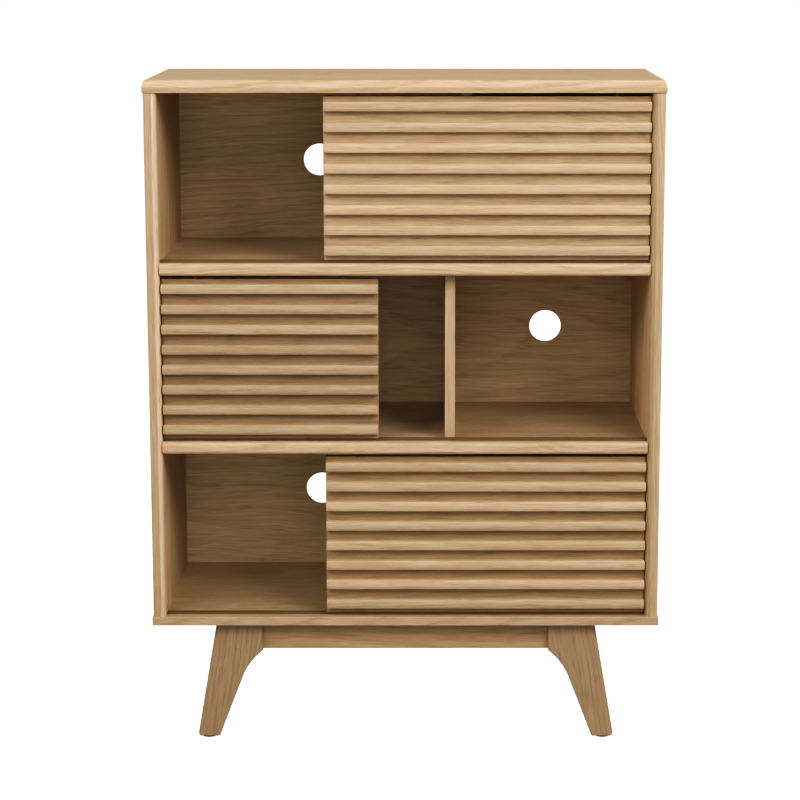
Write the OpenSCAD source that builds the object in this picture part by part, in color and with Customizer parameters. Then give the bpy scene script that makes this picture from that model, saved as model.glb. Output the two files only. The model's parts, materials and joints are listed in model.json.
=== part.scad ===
// Media cabinet with three bays and three sliding slatted doors, on a splayed leg frame.
// Origin: middle of the footprint, on the floor. +X right, +Y to the back, +Z up. Millimetres.

/* [Carcass] */
// Width of the top and bottom panels
top_w = 902; // [800:1:1100]
// Depth of the top and bottom panels
top_d = 394; // [350:1:460]
// Thickness of the top panel
top_t = 22; // [19:1:30]
// Thickness of each side panel
side_t = 22; // [19:1:28]
// Thickness of each shelf
shelf_t = 22; // [21:1:28]
// Thickness of the bottom panel
bottom_t = 16; // [15:1:22]
// Clear height of each bay
bay_h = 295; // [240:1:360]
// How far the top and bottom panels pass the sides and their front edges
overhang = 2; // [1:0.5:8]
// Height of the bevel round the top panel's upper edge
bevel_h = 12; // [6:1:16]
// Depth of that bevel
bevel_d = 4; // [2:0.5:8]
// Rounding of each side's inner front edge
side_round = 8; // [3:0.5:10]
// Rounding of each shelf's nose, above and below
nose_round = 7; // [3:0.5:9]

/* [Dividers and backs] */
// Thickness of the dividers
divider_t = 18; // [15:1:22]
// Distance of the dividers' front edges behind the sides' front edges
divider_setback = 31; // [30.5:0.5:60]
// Place of the upper and lower dividers across the cabinet
outer_divider_x = 108; // [60:1:130]
// Place of the middle divider across the cabinet
middle_divider_x = 79; // [40:1:120]
// Thickness of the back panels
back_t = 5; // [3:0.5:6]
// Distance of the back panels' outer faces in front of the carcass's rear edges
back_inset = 7; // [3:0.5:12]
// How far each rabbet for a back panel runs into its panel
rabbet_w = 7; // [6.5:0.5:8]
// Play round each back panel in its rabbet
back_play = 0.5; // [0.2:0.1:1]
// Diameter of the cable holes
cable_hole_d = 60; // [40:1:80]
// Distance of the middle cable hole from the middle of its compartment
middle_hole_shift = 5.5; // [-20:0.5:20]

/* [Doors] */
// Width of the upper and lower doors
wide_door_w = 567; // [480:1:600]
// Width of the middle door
narrow_door_w = 380; // [320:1:420]
// Thickness of the door boards
door_t = 15; // [13:0.5:15.5]
// Distance of the door boards behind the sides' front edges
door_setback = 14; // [13.5:0.5:14.5]
// Gap between a door board and the floor of its bay
door_floor_gap = 5; // [4.8:0.1:6]
// Gap between a door board and the ceiling of its bay
door_top_gap = 6; // [4:0.5:9]
// Gap between a door's end and the side panel that it stops beside
door_end_gap = 0.8; // [0.5:0.1:3]
// Number of slats on a door
slat_n = 8; // [6:1:9]
// Height of a slat
slat_h = 17; // [11:0.5:19]
// How far the slats stand out from the board
slat_proud = 13; // [7:0.5:13.2]
// Radius of the slats' crowned face
slat_crown_r = 24; // [14:1:70]
// Distance of the first and last slats from the board's edges
slat_margin = 8.7; // [4:0.1:15]
// Distance of the slats' ends from the board's ends
slat_end_inset = 0.5; // [0:0.1:3]

/* [Door gear] */
// Diameter of the door wheels
wheel_d = 14; // [12:0.5:15]
// Width of the door wheels
wheel_w = 4; // [3:0.2:4.4]
// Diameter of the wheel axles
axle_d = 3; // [2:0.1:4]
// Radial play of a wheel on its axle
bearing_play = 0.05; // [0.03:0.01:0.09]
// Gap under a wheel, above the floor of its track
wheel_lift = 0.3; // [0.2:0.05:0.5]
// Side play of a wheel between the walls of its track
track_play = 0.65; // [0.4:0.05:0.8]
// Thickness of a track's floor
track_floor_t = 1.2; // [0.8:0.1:1.6]
// Thickness of a track's walls
track_wall_t = 1.6; // [1:0.1:2]
// Height of a track above the panel that it lies on
track_h = 4.5; // [3:0.1:4.6]
// Thickness of the keel that holds a track in its slot
keel_t = 2; // [1.2:0.1:3]
// Depth of that keel
keel_h = 5; // [3:0.5:6]
// Distance of a wheel's centre from its door's end
roller_inset = 60; // [40:1:120]
// Length of a roller housing
housing_l = 40; // [30:1:60]
// Width of a roller housing
housing_w = 9; // [8:0.2:10]
// Height of a roller housing
housing_h = 15; // [13.5:0.5:20]
// Play round a wheel in the slot of its housing
housing_play = 0.3; // [0.2:0.05:0.6]
// Diameter of the guide pegs on top of a door
peg_d = 6; // [4:0.5:7]
// How far a guide peg reaches into its channel
peg_reach = 5.5; // [3:0.1:6]
// Diameter of the sleeve that holds a peg in the door
sleeve_d = 10; // [8:0.5:11]
// Length of that sleeve
sleeve_l = 14; // [10:1:25]
// Side play of a peg in its channel
peg_play = 0.3; // [0.2:0.05:0.6]
// Wall thickness of a guide channel
channel_t = 1.2; // [0.8:0.1:1.5]
// Depth of a guide channel
channel_h = 10.5; // [10:0.1:11]

/* [Leg frame] */
// Height of the bottom panel above the floor
leg_h = 213; // [160:1:260]
// Thickness of the legs, front to back
leg_t = 30; // [24:1:40]
// Distance of the legs from the front and rear edges of the bottom panel
leg_setback = 15; // [10:1:40]
// Distance of the legs' tops from the ends of the bottom panel
leg_inset = 112.5; // [60:0.5:160]
// Width of a leg at its top
leg_top_w = 83; // [70:1:100]
// Height of a leg's shoulder, where it meets the apron
shoulder_h = 50; // [40:1:60]
// Distance of a leg's waist below its top
waist_drop = 100; // [85:1:120]
// Width of a leg at its waist
waist_w = 63; // [56:0.5:68]
// Width of a foot
foot_w = 40; // [32:1:50]
// Outward lean of a leg's outer edge, in degrees
leg_splay = 9.8; // [5:0.1:14]
// Rounding of a leg's outer edge
leg_round = 8; // [3:0.5:10]
// Rounding of a foot's corners
foot_round = 5; // [1:0.5:6]
// Height of the aprons and side rails
apron_h = 50; // [40:1:60]
// Thickness of the aprons
apron_t = 18; // [15:1:18]
// Thickness of the side rails
rail_t = 18; // [15:1:18]
// Diameter of the foot glides
glide_d = 28; // [20:1:30]
// Thickness of the foot glides
glide_h = 3; // [2:0.5:5]
// Diameter of a glide's nail
glide_nail_d = 3; // [2:0.5:4]
// Length of a glide's nail
glide_nail_l = 14; // [8:1:20]

/* [Fittings] */
// Radial play of pins, screws and dowels in their holes
hole_play = 0.05; // [0.02:0.01:0.1]
// Diameter of the wood dowels
dowel_d = 8; // [6:1:8]
// Length of the wood dowels
dowel_l = 30; // [26:1:34]
// How far a dowel's short end runs into its panel
dowel_grip = 12; // [8:0.5:12.5]
// Diameter of the cam discs
cam_d = 15; // [12:0.5:15]
// Thickness of the cam discs
cam_h = 12.5; // [11.5:0.5:14]
// Distance of a cam's centre from the end of its panel
cam_reach = 34; // [24:1:40]
// Diameter of a cam cover
cam_cover_d = 20; // [17:0.5:24]
// Thickness of a cam cover
cam_cover_t = 0.5; // [0.3:0.1:0.8]
// Distance of the cams from the carcass's front and rear edges
cam_edge = 65; // [40:1:80]
// Distance of the dowels from the carcass's front and rear edges
dowel_edge = 120; // [100:1:140]
// Length of the carcass screws
carcass_screw_l = 50; // [40:1:60]
// Shank diameter of the carcass screws
carcass_screw_d = 5; // [4:0.5:6]
// Shank diameter of the small screws
small_screw_d = 3; // [2.5:0.1:3.5]
// Length of the small screws
small_screw_l = 14; // [11:1:16]
// Shank diameter of the leg bolts
leg_bolt_d = 8; // [6:0.5:8]
// Length of the leg bolts
leg_bolt_l = 50; // [40:1:60]
// Length of the joint plates behind the aprons
plate_l = 64; // [56:1:64]
// Height of those plates
plate_h = 24; // [16:1:30]
// Thickness of those plates
plate_t = 2; // [1.5:0.1:3]

/* [Hidden] */
$fn = 64;

oak = [0.79, 0.67, 0.49];
oak_light = [0.84, 0.73, 0.56];
oak_dark = [0.62, 0.50, 0.34];
brown_plastic = [0.34, 0.20, 0.11];
white_nylon = [0.90, 0.89, 0.85];
zinc = [0.68, 0.69, 0.70];
black_plastic = [0.09, 0.08, 0.08];
beech = [0.86, 0.74, 0.57];

// Cutters run this far past the faces that they open
past = 1;

// Bays, counted from the floor
lower = 0;
middle = 1;
upper = 2;

// Carcass levels and faces
carcass_front = -top_d / 2 + overhang;
carcass_back = top_d / 2;
side_out = top_w / 2 - overhang;
side_in = side_out - side_t;
side_mid = (side_out + side_in) / 2;
function bay_floor(bay) = leg_h + bottom_t + bay * (bay_h + shelf_t);
function bay_ceiling(bay) = bay_floor(bay) + bay_h;
function bay_mid(bay) = bay_floor(bay) + bay_h / 2;
function divider_x(bay) = bay == middle ? middle_divider_x : outer_divider_x;
carcass_top = bay_ceiling(upper);
overall_h = carcass_top + top_t;

// Back panels and cable holes
back_face = carcass_back - back_inset - back_t;
outer_hole_x = (outer_divider_x - divider_t / 2 - side_in) / 2;
middle_hole_x = (middle_divider_x + divider_t / 2 + side_in) / 2 + middle_hole_shift;
function hole_x(bay) = bay == middle ? middle_hole_x : outer_hole_x;

// Doors and their gear
door_front = carcass_front + door_setback;
gear_y = door_front + door_t / 2;
door_h = bay_h - door_floor_gap - door_top_gap;
slat_pitch = (door_h - 2 * slat_margin - slat_h) / (slat_n - 1);
function door_w(bay) = bay == middle ? narrow_door_w : wide_door_w;
function door_x(bay) = (bay == middle ? -1 : 1) * (side_in - door_end_gap - door_w(bay) / 2);
function door_bottom(bay) = bay_floor(bay) + door_floor_gap;
function door_top(bay) = bay_ceiling(bay) - door_top_gap;
function roller_x(bay, end) = door_x(bay) + end * (door_w(bay) / 2 - roller_inset);
function wheel_z(bay) = bay_floor(bay) + track_floor_t + wheel_lift + wheel_d / 2;
track_in_w = wheel_w + 2 * track_play;
track_w = track_in_w + 2 * track_wall_t;
track_end_play = 0.5;
keel_play = 0.2;
channel_in_w = peg_d + 2 * peg_play;
channel_w = channel_in_w + 2 * channel_t;
wheel_slot_w = wheel_w + 2 * housing_play;
wheel_slot_l = wheel_d + 2;
wheel_slot_h = wheel_z(lower) + wheel_d / 2 + 1 - door_bottom(lower);

// Leg frame
leg_out = top_w / 2 - leg_inset;
leg_in = leg_out - leg_top_w;
leg_y = top_d / 2 - leg_setback - leg_t / 2;
leg_inner_y = leg_y - leg_t / 2;
apron_y = leg_inner_y + apron_t / 2;
apron_bottom = leg_h - apron_h;
apron_mid = leg_h - apron_h / 2;
rail_x = (leg_out + leg_in) / 2;
function outer_edge_x(z) = leg_out + (leg_h - z) * tan(leg_splay);
foot_out = outer_edge_x(glide_h);
foot_in = foot_out - foot_w;
foot_mid = (foot_out + foot_in) / 2;
waist_z = leg_h - waist_drop;
shoulder = [leg_in, leg_h - shoulder_h];
waist = [outer_edge_x(waist_z) - waist_w, waist_z];
inner_foot = [foot_in, glide_h];
shin = (inner_foot - waist) / norm(inner_foot - waist);
sweep_out = [shin.y, -shin.x];
sweep_r = pow(norm(shoulder - waist), 2) / (2 * (shoulder - waist) * sweep_out);
sweep_centre = waist + sweep_r * sweep_out;

// Places of the fittings
dowel_ys = [carcass_front + dowel_edge, carcass_back - dowel_edge];
cam_ys = [carcass_front + cam_edge, carcass_back - cam_edge];
carcass_screw_edge = 45;
carcass_screw_ys = [
    carcass_front + carcass_screw_edge,
    (carcass_front + carcass_back) / 2,
    carcass_back - carcass_screw_edge
];
carcass_head_d = 9;
carcass_head_h = 4;
base_dowel_rise = 12;
base_bore_d = 10;
base_bore_h = 12;
base_screw_bite = 11;
leg_bolt_bite = 11;
leg_bolt_shift = 15;
plate_hole_edge = 9;
small_head_d = 5.5;
small_head_h = 1.6;
back_screw_n = 4;
back_screw_end = 40;
cam_bore_play = 0.5;
cam_bolt_grip = 11;
cam_bolt_d = 6;
cam_neck_d = 5;
cam_head_d = 6.8;
cam_head_l = 5;
cam_channel_d = 7.6;

// A fitting is listed as [place on the joint face, direction of its long end]
function shelf_dowels(z) =
    [for (end = [-1, 1], y = dowel_ys) [[end * side_in, y, z], [-end, 0, 0]]];
function side_dowels(end) = [
    for (y = dowel_ys) [[end * side_mid, y, carcass_top], [0, 0, -1]],
    for (y = dowel_ys) [[end * side_mid, y, bay_floor(lower)], [0, 0, 1]]
];
function divider_dowels(bay) = [
    for (y = dowel_ys) [[divider_x(bay), y, bay_ceiling(bay)], [0, 0, -1]],
    for (y = dowel_ys) [[divider_x(bay), y, bay_floor(bay)], [0, 0, 1]]
];
function apron_dowels(back) = [
    for (end = [-1, 1], rise = [-1, 1])
        [[end * leg_in, back * apron_y, apron_mid + rise * base_dowel_rise], [end, 0, 0]]
];
function rail_dowels(end) = [
    for (back = [-1, 1], rise = [-1, 1])
        [[end * rail_x, back * leg_inner_y, apron_mid + rise * base_dowel_rise], [0, -back, 0]]
];
function shelf_mid(bay) = bay_floor(bay) - shelf_t / 2;
shelf_levels = [middle, upper];
all_dowels = [
    for (bay = shelf_levels) each shelf_dowels(shelf_mid(bay)),
    for (end = [-1, 1]) each side_dowels(end),
    for (bay = [lower, middle, upper]) each divider_dowels(bay),
    for (back = [-1, 1]) each apron_dowels(back),
    for (end = [-1, 1]) each rail_dowels(end)
];

// A cam fitting is listed as [place, direction towards its disc, direction out of the disc's face,
// thickness of the panel that holds the disc]
function shelf_cams(z) =
    [for (end = [-1, 1], y = cam_ys) [[end * side_in, y, z], [-end, 0, 0], [0, 0, -1], shelf_t]];
function side_cams(end) =
    [for (y = cam_ys) [[end * side_mid, y, carcass_top], [0, 0, -1], [-end, 0, 0], side_t]];
all_cams = [
    for (bay = shelf_levels) each shelf_cams(shelf_mid(bay)),
    for (end = [-1, 1]) each side_cams(end)
];
function cam_face(cam) = cam[0] + cam[1] * cam_reach + cam[2] * cam[3] / 2;

// Screws through the back panels, as places on the panels' outer faces
back_screw_run = (2 * side_in - 2 * back_screw_end) / (back_screw_n - 1);
back_screw_xs = [for (i = [0 : back_screw_n - 1]) back_screw_end - side_in + i * back_screw_run];
back_screw_y = back_face + back_t;
function back_floor_screws(bay) =
    [for (x = back_screw_xs) [x, back_screw_y, bay_floor(bay) - rabbet_w / 2]];
function back_ceiling_screws(bay) =
    [for (x = back_screw_xs) [x, back_screw_y, bay_ceiling(bay) + rabbet_w / 2]];
function back_side_screws(bay) =
    [for (end = [-1, 1]) [end * (side_in + rabbet_w / 2), back_screw_y, bay_mid(bay)]];
function back_screws(bay) =
    concat(back_floor_screws(bay), back_ceiling_screws(bay), back_side_screws(bay));

// Screws through the joint plates, as [place on the plate's face, direction into the wood]
plate_reach = plate_l / 2 - plate_hole_edge;
function plate_screw_places(end, back) = [
    for (dx = [-plate_reach, -plate_reach / 2, plate_reach / 2, plate_reach])
        [[end * (leg_in + dx), back * (leg_inner_y - plate_t), apron_mid], [0, back, 0]]
];
apron_screw_xs = [-leg_in * 0.7, 0, leg_in * 0.7];
rail_screw_ys = [-leg_inner_y / 2, leg_inner_y / 2];
function apron_screw_places(back) = [for (x = apron_screw_xs) [x, back * apron_y, apron_bottom]];
function rail_screw_places(end) = [for (y = rail_screw_ys) [end * rail_x, y, apron_bottom]];
function leg_bolt_place(end, back) = [end * (rail_x + leg_bolt_shift), back * leg_y, leg_h];

// Limits round a middle, and limits measured from a level
function centred(middle, width) = [middle - width / 2, middle + width / 2];
function span(level, low, high) = [level + low, level + high];

// A block between pairs of limits
module block(x, y, z) {
    translate([x[0], y[0], z[0]]) cube([x[1] - x[0], y[1] - y[0], z[1] - z[0]]);
}

// Extrudes a (y, z) outline along X, between two limits
module along_x(x) {
    translate([x[0], 0, 0]) rotate([90, 0, 90]) linear_extrude(x[1] - x[0]) children();
}

// Extrudes an (x, z) outline along Y, between two limits
module along_y(y) {
    translate([0, y[1], 0]) rotate([90, 0, 0]) linear_extrude(y[1] - y[0]) children();
}

// Turns +Z to one of the six axis directions
module aim(direction) {
    rotate([direction.z < 0 ? 180 : -90 * direction.y, 90 * direction.x, 0]) children();
}

// What a rounded corner loses: the corner is at the origin and the solid is in the first quadrant
module corner_waste(r) {
    difference() {
        translate([-past, -past]) square(r + past);
        translate([r, r]) circle(r);
    }
}

module dowel(fitting, play = 0) {
    translate(fitting[0]) aim(fitting[1])
        translate([0, 0, -dowel_grip - play]) cylinder(d = dowel_d + 2 * play, h = dowel_l + 2 * play);
}

module dowel_holes(fittings) {
    for (fitting = fittings) dowel(fitting, hole_play);
}

// A screw with a countersunk head, its head's face at the origin and its point along +Z
module countersunk_screw(d, l, head_d, head_h, play = 0) {
    point_l = d;
    cylinder(d1 = head_d + 2 * play, d2 = d + 2 * play, h = head_h);
    cylinder(d = d + 2 * play, h = l - point_l);
    translate([0, 0, l - point_l]) cylinder(d1 = d + 2 * play, d2 = d / 3, h = point_l + play);
}

// A small screw with a pan head: the head's seat is at the origin and the point along +Z
module pan_screw(d, l, head_d, head_h) {
    translate([0, 0, -head_h]) cylinder(d = head_d, h = head_h);
    cylinder(d = d, h = l);
}

module pan_screw_holes(places, direction) {
    for (place = places) translate(place) aim(direction)
        translate([0, 0, -past])
            cylinder(d = small_screw_d + 2 * hole_play, h = past + small_screw_l + hole_play);
}

module cam_disc(cam) {
    towards_bolt = -cam[1];
    difference() {
        translate(cam_face(cam)) aim(-cam[2]) cylinder(d = cam_d, h = cam_h);
        translate(cam[0] + cam[1] * (cam_reach + cam_head_l / 2)) aim(towards_bolt)
            cylinder(d = cam_channel_d, h = cam_d);
    }
}

module cam_bolt(cam) {
    translate(cam[0]) aim(cam[1]) {
        translate([0, 0, -cam_bolt_grip]) cylinder(d = cam_bolt_d, h = cam_bolt_grip);
        cylinder(d = cam_neck_d, h = cam_reach - cam_head_l / 2);
        translate([0, 0, cam_reach - cam_head_l / 2]) cylinder(d = cam_head_d, h = cam_head_l);
    }
}

// The bolt's bore and the disc's seat, in the panel that holds the disc
module cam_seats(cams) {
    for (cam = cams) {
        translate(cam_face(cam) + cam[2] * past) aim(-cam[2])
            cylinder(d = cam_d + 2 * hole_play, h = cam_h + past + cam_bore_play);
        translate(cam[0] - cam[1] * past) aim(cam[1])
            cylinder(d = cam_channel_d, h = past + cam_reach + cam_head_l / 2);
    }
}

// The pilot holes of the cam bolts, in the panel that they are screwed to
module cam_pilots(cams) {
    for (cam = cams) translate(cam[0] + cam[1] * past) aim(-cam[1])
        cylinder(d = cam_bolt_d + 2 * hole_play, h = cam_bolt_grip + past + hole_play);
}

module carcass_screw_set(ends, play = 0) {
    for (end = ends, y = carcass_screw_ys) translate([end * side_mid, y, leg_h])
        countersunk_screw(carcass_screw_d, carcass_screw_l, carcass_head_d, carcass_head_h, play);
}

// The slot for a track's keel and the groove for a guide channel, between the sides
module keel_slot(bay) {
    block([-side_in, side_in], centred(gear_y, keel_t), span(bay_floor(bay), -keel_h - keel_play, past));
}

module guide_groove(bay) {
    block([-side_in, side_in], centred(gear_y, channel_w), span(bay_ceiling(bay), -past, channel_h));
}

// The rabbets for a back panel, in the panel below it, above it or beside it
module floor_rabbet(bay) {
    block((side_in + rabbet_w) * [-1, 1], [back_face, carcass_back + past],
        span(bay_floor(bay), -rabbet_w, past));
}

module ceiling_rabbet(bay) {
    block((side_in + rabbet_w) * [-1, 1], [back_face, carcass_back + past],
        span(bay_ceiling(bay), -past, rabbet_w));
}

module top_panel() {
    bevel_z = overall_h - bevel_h;
    half = top_w / 2;
    color(oak_light) difference() {
        intersection() {
            along_y([-top_d / 2, carcass_back]) polygon([
                [-half, carcass_top], [half, carcass_top], [half, bevel_z],
                [half - bevel_d, overall_h], [bevel_d - half, overall_h], [-half, bevel_z]
            ]);
            along_x([-half, half]) polygon([
                [-top_d / 2, carcass_top], [carcass_back, carcass_top], [carcass_back, overall_h],
                [bevel_d - top_d / 2, overall_h], [-top_d / 2, bevel_z]
            ]);
        }
        guide_groove(upper);
        ceiling_rabbet(upper);
        for (end = [-1, 1]) {
            dowel_holes(side_dowels(end));
            cam_pilots(side_cams(end));
        }
        dowel_holes(divider_dowels(upper));
        pan_screw_holes(back_ceiling_screws(upper), [0, -1, 0]);
    }
}

module side_panel(end) {
    color(oak) difference() {
        block(
            [min(end * side_in, end * side_out), max(end * side_in, end * side_out)],
            [carcass_front, carcass_back], [bay_floor(lower), carcass_top]
        );
        translate([end * side_in, carcass_front, bay_floor(lower) - past])
            linear_extrude(carcass_top - bay_floor(lower) + 2 * past)
            mirror([end < 0 ? 1 : 0, 0]) corner_waste(side_round);
        block(
            (side_in + rabbet_w) * [-1, 1], [back_face, carcass_back + past],
            [bay_floor(lower) - past, carcass_top + past]
        );
        for (bay = [lower, middle, upper]) pan_screw_holes(back_side_screws(bay), [0, -1, 0]);
        for (bay = shelf_levels) {
            dowel_holes(shelf_dowels(shelf_mid(bay)));
            cam_pilots(shelf_cams(shelf_mid(bay)));
        }
        dowel_holes(side_dowels(end));
        cam_seats(side_cams(end));
        carcass_screw_set([end], hole_play);
    }
}

module left_side_panel() side_panel(-1);
module right_side_panel() side_panel(1);

// The shelf that is the floor of a bay, and the ceiling of the bay under it
module shelf(bay) {
    z = [bay_floor(bay) - shelf_t, bay_floor(bay)];
    color(oak) difference() {
        block([-side_in, side_in], [carcass_front, carcass_back], z);
        along_x([-side_in - past, side_in + past]) {
            translate([carcass_front, z[0]]) corner_waste(nose_round);
            translate([carcass_front, z[1]]) mirror([0, 1]) corner_waste(nose_round);
        }
        keel_slot(bay);
        guide_groove(bay - 1);
        floor_rabbet(bay);
        ceiling_rabbet(bay - 1);
        dowel_holes(shelf_dowels(shelf_mid(bay)));
        cam_seats(shelf_cams(shelf_mid(bay)));
        dowel_holes(divider_dowels(bay));
        dowel_holes(divider_dowels(bay - 1));
        pan_screw_holes(back_floor_screws(bay), [0, -1, 0]);
        pan_screw_holes(back_ceiling_screws(bay - 1), [0, -1, 0]);
    }
}

module upper_shelf() shelf(upper);
module lower_shelf() shelf(middle);

module bottom_panel() {
    color(oak) difference() {
        block(top_w / 2 * [-1, 1], top_d / 2 * [-1, 1], [leg_h, bay_floor(lower)]);
        keel_slot(lower);
        floor_rabbet(lower);
        dowel_holes(divider_dowels(lower));
        pan_screw_holes(back_floor_screws(lower), [0, -1, 0]);
        for (end = [-1, 1]) {
            dowel_holes(side_dowels(end));
            base_screw_set(rail_screw_places(end), hole_play);
        }
        carcass_screw_set([-1, 1], hole_play);
        for (back = [-1, 1]) base_screw_set(apron_screw_places(back), hole_play);
        leg_bolt_set([-1, 1], [-1, 1], hole_play);
    }
}

module divider(bay) {
    color(oak) difference() {
        block(
            centred(divider_x(bay), divider_t),
            [carcass_front + divider_setback, back_face], [bay_floor(bay), bay_ceiling(bay)]
        );
        dowel_holes(divider_dowels(bay));
    }
}

module upper_divider() divider(upper);
module middle_divider() divider(middle);
module lower_divider() divider(lower);

module back_panel(bay) {
    reach = rabbet_w - back_play;
    color(oak_dark) difference() {
        block(
            (side_in + reach) * [-1, 1], [back_face, back_face + back_t],
            [bay_floor(bay) - reach, bay_ceiling(bay) + reach]
        );
        translate([hole_x(bay), back_face - past, bay_mid(bay)]) aim([0, 1, 0])
            cylinder(d = cable_hole_d, h = back_t + 2 * past);
        pan_screw_holes(back_screws(bay), [0, -1, 0]);
    }
}

module upper_back_panel() back_panel(upper);
module middle_back_panel() back_panel(middle);
module lower_back_panel() back_panel(lower);

// A low U-shaped track with a keel under it
module floor_track(bay) {
    z = bay_floor(bay);
    length = side_in - track_end_play;
    color(brown_plastic) difference() {
        union() {
            block([-length, length], centred(gear_y, track_w), [z, z + track_h]);
            block([-length, length], centred(gear_y, keel_t), [z - keel_h, z + track_floor_t / 2]);
        }
        block(
            (length + past) * [-1, 1], centred(gear_y, track_in_w),
            [z + track_floor_t, z + track_h + past]
        );
    }
}

module upper_floor_track() floor_track(upper);
module middle_floor_track() floor_track(middle);
module lower_floor_track() floor_track(lower);

// The liner of the groove that a door's guide pegs run in, open below
module guide_channel(bay) {
    z = bay_ceiling(bay);
    length = side_in - track_end_play;
    color(brown_plastic) difference() {
        block([-length, length], centred(gear_y, channel_w), [z, z + channel_h]);
        block(
            (length + past) * [-1, 1], centred(gear_y, channel_in_w),
            [z - past, z + channel_h - channel_t]
        );
    }
}

module upper_guide_channel() guide_channel(upper);
module middle_guide_channel() guide_channel(middle);
module lower_guide_channel() guide_channel(lower);

// A corner of an outline, rounded: what it loses, for the corner between the points before and after
module outline_corner_waste(before, corner, after, r) {
    a = (before - corner) / norm(before - corner);
    b = (after - corner) / norm(after - corner);
    half_angle = acos(a * b) / 2;
    tangent_l = r / tan(half_angle);
    centre = corner + (a + b) / norm(a + b) * r / sin(half_angle);
    difference() {
        polygon([corner - (a + b) * past, corner + a * tangent_l, centre, corner + b * tangent_l]);
        translate(centre) circle(r);
    }
}

// The right-hand leg's outline, as (x, z)
module leg_outline() {
    outer_foot = [foot_out, glide_h];
    outer_top = [leg_out, leg_h];
    difference() {
        polygon([[leg_in, leg_h], outer_top, outer_foot, inner_foot, waist, shoulder]);
        translate(sweep_centre) circle(sweep_r, $fn = 180);
        outline_corner_waste(outer_top, outer_foot, inner_foot, foot_round);
        outline_corner_waste(outer_foot, inner_foot, waist, foot_round);
    }
}

// The right-hand leg, with its rounded outer edge towards -Y
module leg_body() {
    difference() {
        along_y([-leg_t / 2, leg_t / 2]) leg_outline();
        translate([leg_out, -leg_t / 2, leg_h]) rotate([180, -leg_splay, 0])
            translate([0, 0, -leg_h]) linear_extrude(3 * leg_h)
            rotate(180) corner_waste(leg_round);
    }
}

module leg(end, back) {
    color(oak) difference() {
        translate([0, back * leg_y, 0])
            mirror([end < 0 ? 1 : 0, 0, 0]) mirror([0, back > 0 ? 1 : 0, 0]) leg_body();
        dowel_holes(apron_dowels(back));
        dowel_holes(rail_dowels(end));
        plate_screw_holes(end, back);
        leg_bolt_set([end], [back], hole_play);
        glide_nail(end, back, hole_play);
    }
}

module front_left_leg() leg(-1, -1);
module front_right_leg() leg(1, -1);
module rear_left_leg() leg(-1, 1);
module rear_right_leg() leg(1, 1);

module apron(back) {
    color(oak) difference() {
        block(
            [-leg_in, leg_in], centred(back * apron_y, apron_t), [apron_bottom, leg_h]
        );
        dowel_holes(apron_dowels(back));
        for (end = [-1, 1]) plate_screw_holes(end, back);
        base_screw_set(apron_screw_places(back), hole_play);
        base_screw_bores(apron_screw_places(back));
    }
}

module front_apron() apron(-1);
module rear_apron() apron(1);

module side_rail(end) {
    color(oak) difference() {
        block(
            centred(end * rail_x, rail_t), [-leg_inner_y, leg_inner_y], [apron_bottom, leg_h]
        );
        dowel_holes(rail_dowels(end));
        base_screw_set(rail_screw_places(end), hole_play);
        base_screw_bores(rail_screw_places(end));
    }
}

module left_side_rail() side_rail(-1);
module right_side_rail() side_rail(1);

// Screws that hold the aprons and rails to the bottom panel, their heads deep in bores from below
module base_screw_set(places, play = 0) {
    for (place = places) translate(place + [0, 0, base_bore_h])
        countersunk_screw(
            carcass_screw_d, apron_h - base_bore_h + base_screw_bite, carcass_head_d, carcass_head_h, play
        );
}

module base_screw_bores(places) {
    for (place = places) translate(place - [0, 0, past]) cylinder(d = base_bore_d, h = base_bore_h + past);
}

module leg_bolt_set(ends, backs, play = 0) {
    for (end = ends, back = backs)
        translate(leg_bolt_place(end, back) + [0, 0, leg_bolt_bite - leg_bolt_l - play])
            cylinder(d = leg_bolt_d + 2 * play, h = leg_bolt_l + 2 * play);
}

module glide_nail(end, back, play = 0) {
    translate([end * foot_mid, back * leg_y, glide_h / 2])
        cylinder(d = glide_nail_d + 2 * play, h = glide_nail_l + glide_h / 2 + play);
}

module foot_glides() {
    color(black_plastic) for (end = [-1, 1], back = [-1, 1]) {
        translate([end * foot_mid, back * leg_y, 0]) cylinder(d = glide_d, h = glide_h);
        glide_nail(end, back);
    }
}

module plate_screw_holes(end, back) {
    for (fitting = plate_screw_places(end, back)) pan_screw_holes([fitting[0]], fitting[1]);
}

module joint_plates() {
    color(zinc) for (end = [-1, 1], back = [-1, 1]) difference() {
        block(
            centred(end * leg_in, plate_l),
            centred(back * (leg_inner_y - plate_t / 2), plate_t),
            centred(apron_mid, plate_h)
        );
        plate_screw_holes(end, back);
    }
}

module plate_screws() {
    color(zinc) for (end = [-1, 1], back = [-1, 1], fitting = plate_screw_places(end, back))
        translate(fitting[0]) aim(fitting[1])
            pan_screw(small_screw_d, small_screw_l, small_head_d, small_head_h);
}

module leg_bolts() {
    color(zinc) leg_bolt_set([-1, 1], [-1, 1]);
}

module apron_screws() {
    color(zinc) {
        for (back = [-1, 1]) base_screw_set(apron_screw_places(back));
        for (end = [-1, 1]) base_screw_set(rail_screw_places(end));
    }
}

module cam_discs() {
    color(zinc) for (cam = all_cams) cam_disc(cam);
}

module cam_bolts() {
    color(zinc) for (cam = all_cams) cam_bolt(cam);
}

module cam_covers() {
    color(oak) for (cam = all_cams)
        translate(cam_face(cam)) aim(cam[2]) cylinder(d = cam_cover_d, h = cam_cover_t);
}

module wood_dowels() {
    color(beech) for (fitting = all_dowels) dowel(fitting);
}

module carcass_screws() {
    color(zinc) carcass_screw_set([-1, 1]);
}

module back_panel_screws() {
    color(zinc) for (bay = [lower, middle, upper], place = back_screws(bay))
        translate(place) aim([0, -1, 0]) pan_screw(small_screw_d, small_screw_l, small_head_d, small_head_h);
}

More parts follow.
